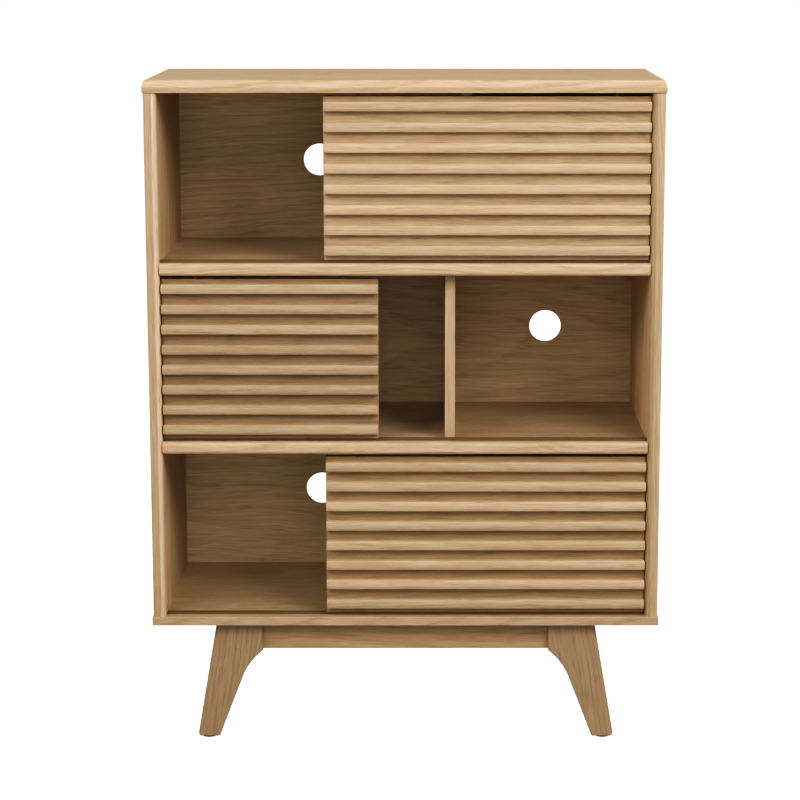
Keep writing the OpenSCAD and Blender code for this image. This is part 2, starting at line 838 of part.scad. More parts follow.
// Door boards, with pockets for the roller housings below and sockets for the guide pegs above
module door_panel(bay) {
    color(oak) difference() {
        block(
            centred(door_x(bay), door_w(bay)),
            [door_front, door_front + door_t], [door_bottom(bay), door_top(bay)]
        );
        for (end = [-1, 1]) {
            block(
                centred(roller_x(bay, end), housing_l),
                centred(gear_y, housing_w), span(door_bottom(bay), -past, housing_h)
            );
            translate([roller_x(bay, end), gear_y, door_top(bay) - sleeve_l])
                cylinder(d = sleeve_d + 2 * hole_play, h = sleeve_l + past);
        }
    }
}

module door_slats(bay) {
    color(oak_light) for (i = [0 : slat_n - 1]) {
        z = door_bottom(bay) + slat_margin + slat_h / 2 + i * slat_pitch;
        along_x(centred(door_x(bay), door_w(bay) - 2 * slat_end_inset))
            translate([door_front, z]) intersection() {
                translate([-slat_proud, -slat_h / 2]) square([slat_proud, slat_h]);
                translate([slat_crown_r - slat_proud, 0]) circle(slat_crown_r, $fn = 180);
            }
    }
}

module roller_housings(bay) {
    color(white_nylon) for (end = [-1, 1]) difference() {
        block(
            centred(roller_x(bay, end), housing_l),
            centred(gear_y, housing_w), span(door_bottom(bay), 0, housing_h)
        );
        block(
            centred(roller_x(bay, end), wheel_slot_l),
            centred(gear_y, wheel_slot_w), span(door_bottom(bay), -past, wheel_slot_h)
        );
        translate([roller_x(bay, end), gear_y - housing_w / 2 - past, wheel_z(bay)]) aim([0, 1, 0])
            cylinder(d = axle_d + 2 * hole_play, h = housing_w + 2 * past);
    }
}

module roller_axles(bay) {
    color(zinc) for (end = [-1, 1])
        translate([roller_x(bay, end), gear_y - housing_w / 2, wheel_z(bay)]) aim([0, 1, 0])
            cylinder(d = axle_d, h = housing_w);
}

module door_wheel(bay, end) {
    color(white_nylon) translate([roller_x(bay, end), gear_y, wheel_z(bay)]) aim([0, 1, 0]) difference() {
        cylinder(d = wheel_d, h = wheel_w, center = true);
        cylinder(d = axle_d + 2 * bearing_play, h = wheel_w + 2 * past, center = true);
    }
}

module top_guides(bay) {
    color(white_nylon) for (end = [-1, 1]) translate([roller_x(bay, end), gear_y, door_top(bay)]) {
        translate([0, 0, -sleeve_l]) cylinder(d = sleeve_d, h = sleeve_l);
        cylinder(d = peg_d, h = door_top_gap + peg_reach);
    }
}

module upper_door_panel() door_panel(upper);
module upper_door_slats() door_slats(upper);
module upper_door_roller_housings() roller_housings(upper);
module upper_door_roller_axles() roller_axles(upper);
module upper_door_left_wheel() door_wheel(upper, -1);
module upper_door_right_wheel() door_wheel(upper, 1);
module upper_door_top_guides() top_guides(upper);

module middle_door_panel() door_panel(middle);
module middle_door_slats() door_slats(middle);
module middle_door_roller_housings() roller_housings(middle);
module middle_door_roller_axles() roller_axles(middle);
module middle_door_left_wheel() door_wheel(middle, -1);
module middle_door_right_wheel() door_wheel(middle, 1);
module middle_door_top_guides() top_guides(middle);

module lower_door_panel() door_panel(lower);
module lower_door_slats() door_slats(lower);
module lower_door_roller_housings() roller_housings(lower);
module lower_door_roller_axles() roller_axles(lower);
module lower_door_left_wheel() door_wheel(lower, -1);
module lower_door_right_wheel() door_wheel(lower, 1);
module lower_door_top_guides() top_guides(lower);

top_panel();
left_side_panel();
right_side_panel();
upper_shelf();
lower_shelf();
bottom_panel();
upper_divider();
middle_divider();
lower_divider();
upper_back_panel();
middle_back_panel();
lower_back_panel();
upper_floor_track();
middle_floor_track();
lower_floor_track();
upper_guide_channel();
middle_guide_channel();
lower_guide_channel();
front_left_leg();
front_right_leg();
rear_left_leg();
rear_right_leg();
front_apron();
rear_apron();
left_side_rail();
right_side_rail();
foot_glides();
joint_plates();
plate_screws();
leg_bolts();
apron_screws();
cam_discs();
cam_bolts();
cam_covers();
wood_dowels();
carcass_screws();
back_panel_screws();
upper_door_panel();
upper_door_slats();
upper_door_roller_housings();
upper_door_roller_axles();
upper_door_left_wheel();
upper_door_right_wheel();
upper_door_top_guides();
middle_door_panel();
middle_door_slats();
middle_door_roller_housings();
middle_door_roller_axles();
middle_door_left_wheel();
middle_door_right_wheel();
middle_door_top_guides();
lower_door_panel();
lower_door_slats();
lower_door_roller_housings();
lower_door_roller_axles();
lower_door_left_wheel();
lower_door_right_wheel();
lower_door_top_guides();
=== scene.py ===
import json
import math

import bmesh
import bpy
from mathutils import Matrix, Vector


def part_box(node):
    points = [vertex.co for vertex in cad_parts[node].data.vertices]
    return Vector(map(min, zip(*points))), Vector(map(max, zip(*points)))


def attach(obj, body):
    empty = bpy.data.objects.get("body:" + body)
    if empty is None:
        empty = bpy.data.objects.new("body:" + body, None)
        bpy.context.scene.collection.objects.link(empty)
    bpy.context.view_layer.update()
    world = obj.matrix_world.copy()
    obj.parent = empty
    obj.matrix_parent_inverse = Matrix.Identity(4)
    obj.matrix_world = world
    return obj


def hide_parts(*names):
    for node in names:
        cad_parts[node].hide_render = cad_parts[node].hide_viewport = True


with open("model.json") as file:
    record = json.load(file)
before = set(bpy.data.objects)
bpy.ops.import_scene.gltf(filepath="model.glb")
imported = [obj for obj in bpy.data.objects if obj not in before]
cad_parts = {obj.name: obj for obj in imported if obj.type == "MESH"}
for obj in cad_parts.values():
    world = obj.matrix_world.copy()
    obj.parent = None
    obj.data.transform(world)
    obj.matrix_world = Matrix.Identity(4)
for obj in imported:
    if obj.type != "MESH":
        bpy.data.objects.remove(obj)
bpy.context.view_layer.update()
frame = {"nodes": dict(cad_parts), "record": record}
cadNodes = frame["nodes"]
bodyOf = {node: body for body, nodes in frame["record"]["behaviour"]["bodies"].items() for node in nodes}
print("frame loaded:", len(cadNodes), "nodes")


camera = {
    "lens": 105.9,
    "place": (0.0451, -4.2472, 1.4048),
    "pitch": 10.05,
    "shift": (-0.0384, -0.045),
}

cameraData = bpy.data.cameras.new("camera")
cameraData.lens = camera["lens"]
cameraData.sensor_width = 36
cameraData.shift_x, cameraData.shift_y = camera["shift"]
cameraData.clip_end = 50
cameraPiece = bpy.data.objects.new("camera", cameraData)
cameraPiece.location = camera["place"]
cameraPiece.rotation_euler = (math.radians(90 - camera["pitch"]), 0, 0)
bpy.context.collection.objects.link(cameraPiece)
bpy.context.scene.camera = cameraPiece
print("camera placed")


class Wire:
    # an output socket; arithmetic on it adds Math nodes to its tree
    def __init__(self, graph, socket, node):
        self.graph, self.socket, self.node = graph, socket, node

    def out(self, name):
        return Wire(self.graph, self.node.outputs[name], self.node)

    def __add__(self, other):
        return self.graph.maths("ADD", self, other)

    def __radd__(self, other):
        return self.graph.maths("ADD", other, self)

    def __sub__(self, other):
        return self.graph.maths("SUBTRACT", self, other)

    def __rsub__(self, other):
        return self.graph.maths("SUBTRACT", other, self)

    def __mul__(self, other):
        return self.graph.maths("MULTIPLY", self, other)

    def __truediv__(self, other):
        return self.graph.maths("DIVIDE", self, other)

    def __pow__(self, other):
        return self.graph.maths("POWER", self, other)

    def __lt__(self, other):
        return self.graph.maths("LESS_THAN", self, other)

    def __gt__(self, other):
        return self.graph.maths("GREATER_THAN", self, other)


class Graph:
    # adds nodes to a shader tree or a geometry tree
    def __init__(self, tree):
        self.tree = tree

    def add(self, kind, settings=None, sockets=None, out=0):
        node = self.tree.nodes.new(kind)
        for key, value in (settings or {}).items():
            setattr(node, key, value)
        for key, value in (sockets or {}).items():
            if isinstance(value, Wire):
                self.tree.links.new(value.socket, node.inputs[key])
            else:
                node.inputs[key].default_value = value
        return Wire(self, node.outputs[out] if len(node.outputs) else None, node)

    def maths(self, operation, *values):
        return self.add("ShaderNodeMath", {"operation": operation}, dict(enumerate(values)))

    def blend(self, mask, first, second):
        ends = [(*end, 1) if isinstance(end, tuple) else end for end in (first, second)]
        settings = {"data_type": "RGBA", "clamp_factor": True}
        return self.add("ShaderNodeMix", settings, {0: mask, 6: ends[0], 7: ends[1]}, out=2)

    def multiply(self, colour, factor):
        # darkens or lightens a colour by a number, or by three, channel by channel
        triple = factor if isinstance(factor, tuple) else self.point(factor, factor, factor)
        return self.add("ShaderNodeVectorMath", {"operation": "MULTIPLY"}, {0: colour, 1: triple})

    def noise(self, place, detail=2, roughness=0.5):
        sockets = {"Vector": place, "Scale": 1, "Detail": detail, "Roughness": roughness}
        return self.add("ShaderNodeTexNoise", {"noise_dimensions": "3D"}, sockets)

    def point(self, x, y, z):
        return self.add("ShaderNodeCombineXYZ", None, {0: x, 1: y, 2: z})

    def marks(self, rate, along, depth, across, detail=2, roughness=0.5):
        # noise at its own rate along the grain, into the board and across it
        place = self.point(along * rate[0], depth * rate[1], across * rate[2])
        return self.noise(place, detail, roughness)

    def scaled(self, place, rate):
        # a place in metres made into noise space
        scale = rate if isinstance(rate, tuple) else (rate,) * 3
        return self.add("ShaderNodeMapping", None, {"Vector": place, "Scale": scale})

    def smooth(self, value, low, high, start=0, end=1):
        settings = {"interpolation_type": "SMOOTHSTEP"}
        return self.add("ShaderNodeMapRange", settings, {0: value, 1: low, 2: high, 3: start, 4: end})


def newFinish(name):
    finish = bpy.data.materials.new(name)
    finish.use_nodes = True
    finish.node_tree.nodes.clear()
    return finish, Graph(finish.node_tree)


def closeFinish(graph, sockets):
    surface = graph.add("ShaderNodeBsdfPrincipled", None, sockets)
    graph.add("ShaderNodeOutputMaterial", None, {"Surface": surface})


oak = {
    "pale": (0.715, 0.512, 0.332),
    "deep": (0.390, 0.255, 0.143),
    "warm": (0.595, 0.395, 0.238),
    "olive": (0.545, 0.408, 0.236),
    "pore": (0.250, 0.160, 0.090),
    "ringGap": 0.0085,
    "waver": 0.012,
    # the log's heart: how deep behind the board and how far across, and how much it wanders
    "heartDepth": 0.09,
    "heartAcross": 0.05,
    "heartWaver": 0.03,
    # marks to the metre along the grain, into the board and across it
    "waveRate": (1.9, 5, 5),
    "rippleRate": (9, 24, 24),
    "bandRate": (0.8, 30, 55),
    "streakRate": (9, 240, 310),
    "fibreRate": (26, 560, 700),
    "patchRate": (1.1, 5, 16),
    "poreRate": (30, 900, 1300),
    # how much each mark darkens
    "ringWeight": 0.20,
    "bandWeight": 0.24,
    "streakWeight": 0.44,
    "fibreWeight": 0.34,
    "hueShare": 0.28,
    "poreShare": 0.50,
    "poreDepth": 0.00012,
    "roughness": 0.54,
    # how far apart in the log the slats of one door are cut, and how unlike their tones are
    "stripJump": 1.73,
    "stripDrift": 0.11,
    "stripDark": 0.92,
    "stripSpread": 0.16,
}

# turns that bring the grain along X
alongX = (0, 0, 0)
alongY = (0, 0, math.radians(90))
alongZ = (0, math.radians(90), 0)


def oakFinish(name, turn=alongX, shift=(0, 0, 0), tone=1.0, lean=0.10, figure=1.0, strips=None, zones=()):
    # shift picks another part of the log, lean is how much the log runs out of the board, figure is how wild
    # the grain is, strips gives each slat wood of its own, and zones are other tones past a plane. A zone
    # changes the tone that is there already, or where it is fresh takes its place.
    finish, graph = newFinish(name)
    spot = graph.add("ShaderNodeTexCoord", None, None, out="Object")
    place = graph.add("ShaderNodeMapping", None, {"Vector": spot, "Location": shift, "Rotation": turn})
    along = graph.add("ShaderNodeSeparateXYZ", None, {0: place})
    depth, across = along.out(1), along.out(2)
    if strips:
        index = graph.maths("FLOOR", (across - (strips["start"] + shift[2])) / strips["pitch"])
        settings = {"noise_dimensions": "1D"}
        stripTone = graph.add("ShaderNodeTexWhiteNoise", settings, {"W": index + 3.7 * shift[0]})
        along = along + index * oak["stripJump"]
        across = across + stripTone * oak["stripDrift"]
    wave = graph.marks(oak["waveRate"], along, depth, across) - 0.5
    ripple = graph.marks(oak["rippleRate"], along, depth, across) - 0.5
    bent = across + wave * (oak["waver"] * 5 * figure) + ripple * (oak["waver"] * 0.5 * figure)
    inward = depth + wave * (oak["waver"] * 2)
    heart = depth + oak["heartDepth"] + along * lean + wave * (oak["heartWaver"] * figure)
    radius = ((bent - oak["heartAcross"]) ** 2 + heart ** 2) ** 0.5
    ring = graph.maths("FRACT", radius / oak["ringGap"])
    ringMark = graph.smooth(ring, 0.0, 0.60, 1, 0) * graph.smooth(ring, 0.0, 0.10)
    band = graph.marks(oak["bandRate"], along, inward, bent, roughness=0.6)
    streak = graph.marks(oak["streakRate"], along, inward, bent, detail=3, roughness=0.7)
    fibre = graph.marks(oak["fibreRate"], along, inward, bent, roughness=0.6)
    patch = graph.marks(oak["patchRate"], along, depth, bent, detail=1)
    pores = graph.marks(oak["poreRate"], along, inward, bent, detail=1, roughness=0.4)
    pores = graph.smooth(pores, 0.56, 0.70) * (0.35 + ringMark * 0.65)
    darkness = (
        ringMark * (oak["ringWeight"] * figure) + graph.smooth(band, 0.28, 0.72) * oak["bandWeight"]
        + graph.smooth(streak, 0.32, 0.68) * oak["streakWeight"]
        + graph.smooth(fibre, 0.30, 0.70) * oak["fibreWeight"]
    )
    hue = graph.blend(graph.smooth(patch, 0.38, 0.62), oak["warm"], oak["olive"])
    colour = graph.blend(darkness, oak["pale"], oak["deep"])
    colour = graph.blend(oak["hueShare"], colour, hue)
    colour = graph.blend(pores * oak["poreShare"], colour, oak["pore"])
    untoned = colour
    if strips:
        tone = (oak["stripDark"] + stripTone * oak["stripSpread"]) * tone
    colour = graph.multiply(colour, tone)
    for zone in zones:
        reach = graph.add("ShaderNodeSeparateXYZ", None, {0: spot}, out=zone["axis"])
        other = graph.multiply(untoned if zone.get("fresh") else colour, zone["tone"])
        colour = graph.blend(graph.smooth(reach, zone["start"], zone["end"]), colour, other)
    bump = graph.add("ShaderNodeBump", None, {
        "Height": 0 - pores - fibre * 0.4, "Distance": oak["poreDepth"], "Strength": 0.6,
    })
    closeFinish(graph, {
        "Base Color": colour, "Roughness": oak["roughness"] + pores * 0.2 + (fibre - 0.5) * 0.08,
        "Specular IOR Level": 0.4, "Normal": bump,
    })
    return finish


moulded = {"grainRate": 1 / 0.0012, "cloudRate": 14, "grainDepth": 0.00004}
plated = {"spangleRate": 420, "drawnRate": (300, 300, 2600), "drawnDepth": 0.00002}


def mouldedFinish(name, colour, roughness):
    # fine spark-eroded texture with a little unevenness of gloss
    finish, graph = newFinish(name)
    place = graph.add("ShaderNodeTexCoord", None, None, out="Object")
    grain = graph.noise(graph.scaled(place, moulded["grainRate"]))
    cloud = graph.noise(graph.scaled(place, moulded["cloudRate"]))
    bump = graph.add("ShaderNodeBump", None, {
        "Height": grain, "Distance": moulded["grainDepth"], "Strength": 0.5,
    })
    closeFinish(graph, {
        "Base Color": graph.multiply(colour, 0.92 + cloud * 0.16),
        "Roughness": roughness + (cloud - 0.5) * 0.15 + (grain - 0.5) * 0.1,
        "Normal": bump,
    })
    return finish


def platedFinish(name, colour, roughness):
    # zinc plate: blotchy spangle and fine drawn marks
    finish, graph = newFinish(name)
    place = graph.add("ShaderNodeTexCoord", None, None, out="Object")
    sockets = {"Vector": graph.scaled(place, plated["spangleRate"]), "Scale": 1}
    spangle = graph.add("ShaderNodeTexVoronoi", {"feature": "F1"}, sockets, out="Color")
    spangle = graph.add("ShaderNodeSeparateXYZ", None, {0: spangle})
    drawn = graph.noise(graph.scaled(place, plated["drawnRate"]))
    bump = graph.add("ShaderNodeBump", None, {
        "Height": drawn, "Distance": plated["drawnDepth"], "Strength": 0.4,
    })
    closeFinish(graph, {
        "Base Color": graph.multiply(colour, 0.82 + spangle * 0.14 + drawn * 0.14),
        "Metallic": 1.0, "Roughness": roughness + (spangle - 0.5) * 0.12, "Normal": bump,
    })
    return finish


brownPlastic = mouldedFinish("brownPlastic", (0.140, 0.078, 0.043), 0.5)
whiteNylon = mouldedFinish("whiteNylon", (0.74, 0.72, 0.66), 0.38)
blackPlastic = mouldedFinish("blackPlastic", (0.012, 0.011, 0.010), 0.55)
zincPlate = platedFinish("zincPlate", (0.62, 0.63, 0.64), 0.34)
beechWood = oakFinish("beechWood", tone=1.08, figure=0.4)
coverFoil = oakFinish("coverFoil", alongZ, (0.4, 0.1, 0.2))
print("plastics, metal and small woods made")


def addPiece(name, mesh):
    piece = bpy.data.objects.new(name, mesh)
    bpy.context.collection.objects.link(piece)
    return piece


def claim(piece, *nodes):
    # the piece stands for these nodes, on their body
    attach(piece, bodyOf[nodes[0]])
    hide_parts(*nodes)


def freeze(piece):
    # what the modifiers make becomes the piece's own plain mesh
    graph = bpy.context.evaluated_depsgraph_get()
    made = bpy.data.meshes.new_from_object(piece.evaluated_get(graph))
    piece.modifiers.clear()
    old, piece.data = piece.data, made
    bpy.data.meshes.remove(old)
    made.name = piece.name
    return piece


def camelName(node):
    first, *others = node.split("_")
    return first + "".join(word.capitalize() for word in others)


def mergedCopy(node):
    shape = bmesh.new()
    shape.from_mesh(cadNodes[node].data)
    bmesh.ops.remove_doubles(shape, verts=shape.verts, dist=1e-6)
    bmesh.ops.dissolve_limit(
        shape, angle_limit=0.01, use_dissolve_boundaries=False, verts=shape.verts, edges=shape.edges,
        delimit=set(),
    )
    return shape


def looseParts(node):
    # the box of each separate solid of a node, in a fixed order
    shape = mergedCopy(node)
    seen, boxes = set(), []
    for vert in shape.verts:
        if vert in seen:
            continue
        seen.add(vert)
        part, queue = [], [vert]
        while queue:
            spot = queue.pop()
            part.append(spot.co.copy())
            for edge in spot.link_edges:
                other = edge.other_vert(spot)
                if other not in seen:
                    seen.add(other)
                    queue.append(other)
        low = Vector(min(spot[i] for spot in part) for i in range(3))
        high = Vector(max(spot[i] for spot in part) for i in range(3))
        boxes.append((low, high))
    shape.free()
    return sorted(boxes, key=lambda box: [round(value, 4) for value in box[0]])


def shadeShape(shape, crease=38, largeFace=4e-4, largeCrease=8):
    # smooth over roundings, crisp at real corners and between large flats
    for edge in shape.edges:
        angle = math.degrees(edge.calc_face_angle(0))
        large = all(face.calc_area() > largeFace for face in edge.link_faces)
        edge.smooth = not (angle > crease or (large and angle > largeCrease))
    for face in shape.faces:
        face.smooth = True


cornerAngle = math.radians(30)


def softened(node, finish, roundings):
    # a copy of the node with its arrises rounded: (radius, steps, test for an edge), largest first
    shape = mergedCopy(node)
    for radius, steps, test in roundings:
        edges = [edge for edge in shape.edges if edge.calc_face_angle(0) > cornerAngle and test(edge)]
        bmesh.ops.bevel(
            shape, geom=edges, offset=radius, offset_type="OFFSET", segments=steps, profile=0.5,
            affect="EDGES", clamp_overlap=False, loop_slide=True,
        )
    shadeShape(shape)
    name = camelName(node)
    mesh = bpy.data.meshes.new(name)
    shape.to_mesh(mesh)
    shape.free()
    mesh.materials.append(finish)
    piece = addPiece(name, mesh)
    weights = piece.modifiers.new("weights", "WEIGHTED_NORMAL")
    weights.mode = "FACE_AREA"
    weights.keep_sharp = True
    freeze(piece)
    claim(piece, node)
    return piece


def runsAlong(axis, least=0.012):
    # a test for long edges that run along one axis
    def test(edge):
        run = edge.verts[1].co - edge.verts[0].co
        return run.length > least and abs(run[axis]) > 0.99 * run.length
    return test


def turned(name, finish, profile, axis, centres, steps=48):
    # solids of revolution about lines along one axis; profile is (radius, height) from end to end
    shape = bmesh.new()
    others = [i for i in range(3) if i != axis]
    for centre in centres:
        rings = []
        for radius, height in profile:
            ring = []
            for step in range(1 if radius == 0 else steps):
                angle = 2 * math.pi * step / steps
                spot = Vector(centre)
                spot[axis] += height
                spot[others[0]] += radius * math.cos(angle)
                spot[others[1]] += radius * math.sin(angle)
                ring.append(shape.verts.new(spot))
            rings.append(ring)
        for low, high in zip(rings, rings[1:]):
            for step in range(steps):
                following = (step + 1) % steps
                corners = [low[step % len(low)], low[following % len(low)]]
                corners += [high[following % len(high)], high[step % len(high)]]
                shape.faces.new(list(dict.fromkeys(corners)))
    bmesh.ops.recalc_face_normals(shape, faces=shape.faces)
    shadeShape(shape, crease=50, largeFace=1)
    mesh = bpy.data.meshes.new(name)
    shape.to_mesh(mesh)
    shape.free()
    mesh.materials.append(finish)
    return addPiece(name, mesh)


kinds = {
    "geometry": "NodeSocketGeometry",
    "number": "NodeSocketFloat",
    "count": "NodeSocketInt",
    "vector": "NodeSocketVector",
    "finish": "NodeSocketMaterial",
}


def openTree(name, inputs):
    # a geometry tree with named inputs; gives its graph, the inputs as wires, and their identifiers
    tree = bpy.data.node_groups.new(name, "GeometryNodeTree")
    graph = Graph(tree)
    made = {
        label: tree.interface.new_socket(name=label, in_out="INPUT", socket_type=kinds[kind])
        for label, kind in inputs.items()
    }
    tree.interface.new_socket(name="geometry", in_out="OUTPUT", socket_type=kinds["geometry"])
    start = tree.nodes.new("NodeGroupInput")
    wires = {label: Wire(graph, start.outputs[label], start) for label in inputs}
    return graph, wires, {label: socket.identifier for label, socket in made.items()}


def closeTree(graph, geometry, finish):
    geometry = graph.add("GeometryNodeRealizeInstances", None, {"Geometry": geometry})
    geometry = graph.add("GeometryNodeSetMaterial", None, {"Geometry": geometry, "Material": finish})
    graph.add("NodeGroupOutput", None, {0: geometry})


def grown(name, mesh, graph, identifiers, values):
    # a piece made by a tree from a start mesh, turned into a plain mesh
    piece = addPiece(name, mesh)
    growth = piece.modifiers.new("growth", "NODES")
    growth.node_group = graph.tree
    for label, value in values.items():
        growth[identifiers[label]] = value
    freeze(piece)
    shape = bmesh.new()
    shape.from_mesh(piece.data)
    bmesh.ops.remove_doubles(shape, verts=shape.verts, dist=1e-6)
    bmesh.ops.dissolve_degenerate(shape, edges=shape.edges, dist=1e-7)
    bmesh.ops.recalc_face_normals(shape, faces=shape.faces)
    shadeShape(shape, largeFace=1)
    for face in shape.faces:
        face.material_index = 0
    shape.to_mesh(piece.data)
    shape.free()
    piece.data.materials.clear()
    piece.data.materials.append(values["finish"])
    return piece


def spotMesh(name, places, facings):
    # loose points that carry the direction that each fitting faces
    mesh = bpy.data.meshes.new(name)
    mesh.from_pydata(places, [], [])
    facing = mesh.attributes.new("facing", "FLOAT_VECTOR", "POINT")
    for item, direction in zip(facing.data, facings):
        item.vector = direction
    return mesh


carcass = {"arris": 0.0010, "topArris": 0.0014, "steps": 6, "longEdge": 0.3, "aboveFace": 1.166}

# painted shade on a bay's floor, painted light on the top's upper face and painted shade on its front face
# below the bevel
floorTone = (0.84, 0.88, 0.90)
topPaintedLight = (1.06, 1.06, 1.05)
edgePaintedShade = (0.86, 0.82, 0.78)
# rear edges and the backs' outer faces are one plain tone, whatever the zones in front of them
rearFace = {"axis": 1, "start": 0.187, "end": 0.188, "tone": 0.90, "fresh": True}
panels = {
    "top_panel": {
        "turn": alongX, "shift": (0.31, -0.12, -0.95), "lean": 0.05, "figure": 2.2,
        # painted light on the upper face, painted shade on the front face below the bevel
        "zones": [
            {"axis": 2, "start": 1.1783, "end": 1.1797, "tone": topPaintedLight},
            {"axis": 2, "start": 1.1686, "end": 1.1676, "tone": edgePaintedShade},
        ],
    },
    "upper_shelf": {
        "turn": alongX, "shift": (1.13, 0.05, -0.85), "lean": 0.06, "figure": 1.5,
        # painted shade on the bay's floor behind the nose, and painted light that grows towards the floor's
        # back
        "zones": [
            {"axis": 1, "start": -0.190, "end": -0.180, "tone": floorTone},
            {"axis": 1, "start": -0.060, "end": 0.150, "tone": (1.40, 1.48, 1.50)},
            rearFace,
        ],
    },
    "lower_shelf": {
        "turn": alongX, "shift": (2.47, 0.11, -0.53), "lean": 0.04, "figure": 1.5,
        # painted shade on the bay's floor behind the nose, painted light that grows towards its back and
        # over the part left of the middle divider; the nose keeps its plain tone
        "zones": [
            {"axis": 1, "start": -0.190, "end": -0.180, "tone": (0.72, 0.75, 0.77)},
            {"axis": 1, "start": -0.060, "end": 0.150, "tone": (1.20, 1.22, 1.22)},
            {"axis": 0, "start": 0.082, "end": 0.074, "tone": (1.36, 1.40, 1.44)},
            {"axis": 1, "start": -0.180, "end": -0.190, "tone": 1.0, "fresh": True},
            rearFace,
        ],
    },
    "bottom_panel": {
        "turn": alongX, "shift": (3.39, 0.07, -0.22), "lean": 0.07, "figure": 1.5, "tone": 0.82,
        # the floor behind the nose a little less red, painted light that grows towards the back of the bays'
        # floors; the ends outside the side panels keep the plain tone
        "zones": [
            {"axis": 1, "start": -0.190, "end": -0.180, "tone": (0.98, 1.02, 1.02)},
            {"axis": 1, "start": -0.060, "end": 0.150, "tone": (1.48, 1.58, 1.58)},
            {"axis": 0, "start": -0.428, "end": -0.430, "tone": 0.82, "fresh": True},
            {"axis": 0, "start": 0.428, "end": 0.430, "tone": 0.82, "fresh": True},
            rearFace,
        ],
    },
    "left_side_panel": {
        "turn": alongZ, "shift": (0.7, 0.03, 0.44), "lean": 0.05, "tone": 0.79,
        # toned darker than the right side as painted shade, with a painted highlight on the inner rounding
        # and painted light on the inner face
        "zones": [
            {"axis": 0, "start": -0.4365, "end": -0.4335, "tone": (1.46, 1.50, 1.60)},
            {"axis": 0, "start": -0.4276, "end": -0.4271, "tone": (0.88, 0.88, 0.82)},
        ],
    },
    "right_side_panel": {
        "turn": alongZ, "shift": (1.9, 0.08, -0.44), "lean": 0.06, "tone": 0.85,
        # painted shade on the inner rounding and painted light on the inner face
        "zones": [
            {"axis": 0, "start": 0.4365, "end": 0.4345, "tone": (0.84, 0.82, 0.80)},
            {"axis": 0, "start": 0.4276, "end": 0.4271, "tone": (1.55, 1.60, 1.60)},
        ],
    },
    "upper_divider": {"turn": alongZ, "shift": (2.3, 0.01, -0.1), "lean": 0.05},
    "middle_divider": {
        "turn": alongZ, "shift": (3.1, 0.06, -0.08), "lean": 0.04, "tone": 0.84,
        # painted light on the side faces behind the front edge
        "zones": [{"axis": 1, "start": -0.158, "end": -0.150, "tone": (1.30, 1.38, 1.33)}],
    },
    "lower_divider": {"turn": alongZ, "shift": (4.2, 0.09, -0.1), "lean": 0.06},
    "upper_back_panel": {
        "turn": alongX, "shift": (0.9, 0.02, -1.16), "lean": 0.03, "figure": 1.1, "tone": (0.96, 1.06, 1.06),
        # painted light that grows towards the top
        "zones": [{"axis": 2, "start": 1.020, "end": 1.120, "tone": (1.50, 1.55, 1.60)}, rearFace],
    },
    "middle_back_panel": {
        "turn": alongX, "shift": (2.6, 0.05, -0.60), "lean": 0.03, "figure": 1.1, "tone": (0.97, 1.06, 1.07),
        "zones": [
            # painted light left of the middle divider
            {"axis": 0, "start": 0.086, "end": 0.072, "tone": (1.42, 1.43, 1.42)},
            rearFace,
        ],
    },
    "lower_back_panel": {
        # lightened all over as painted light
        "turn": alongX, "shift": (4.4, 0.09, -0.20), "lean": 0.03, "figure": 1.1, "tone": (1.32, 1.54, 1.58),
        "zones": [rearFace],
    },
}

for node, look in panels.items():
    finish = oakFinish(camelName(node) + "Wood", **look)
    arris, steps = carcass["arris"], carcass["steps"]
    if "back_panel" in node:
        roundings = []
    elif node == "top_panel":
        roundings = [(carcass["topArris"], steps, lambda edge: (
            edge.calc_length() > carcass["longEdge"] or edge.verts[0].co.z > carcass["aboveFace"]
        ))]
    elif look["turn"] == alongZ:
        roundings = [(arris, steps, runsAlong(2))]
    elif node == "bottom_panel":
        roundings = [(arris, steps, lambda edge: runsAlong(0)(edge) or runsAlong(1, 0.2)(edge))]
    else:
        roundings = [(arris, steps, runsAlong(0))]
    softened(node, finish, roundings)
print("carcass dressed:", len(panels), "panels")


# boards darker than the slats, the middle door's most, and each door's slats toned apart: partly wood tone
# and partly painted shade of the slats over the boards
doors = {
    "upper": {
        "boardShift": (5.1, 0.04, -1.01), "boardTone": 0.74,
        "slatShift": (6.2, 0.1, 0.0), "slatTone": 0.95,
    },
    "middle": {
        "boardShift": (5.9, 0.07, -0.69), "boardTone": (0.53, 0.51, 0.47),
        "slatShift": (7.7, 0.2, 0.0), "slatTone": 0.77,
    },
    "lower": {
        "boardShift": (6.7, 0.02, -0.37), "boardTone": (0.61, 0.59, 0.54),
        "slatShift": (8.9, 0.15, 0.0), "slatTone": 0.90,
    },
}
slat = {
    "crown": 0.024, "arris": 0.0011, "endRound": 0.0026, "endShrink": 0.22, "frontSteps": 22, "endSteps": 6,
}
board = {"endRound": 0.0030, "arris": 0.0008, "steps": 6, "leastEdge": 0.2}

ladder, given, ladderInputs = openTree("slatLadder", {
    "start": "vector", "count": "count", "pitch": "number", "length": "number", "height": "number",
    "proud": "number", "crown": "number", "arris": "number", "endRound": "number", "endShrink": "number",
    "frontSteps": "count", "endSteps": "count", "finish": "finish",
})
index = ladder.add("GeometryNodeInputIndex")
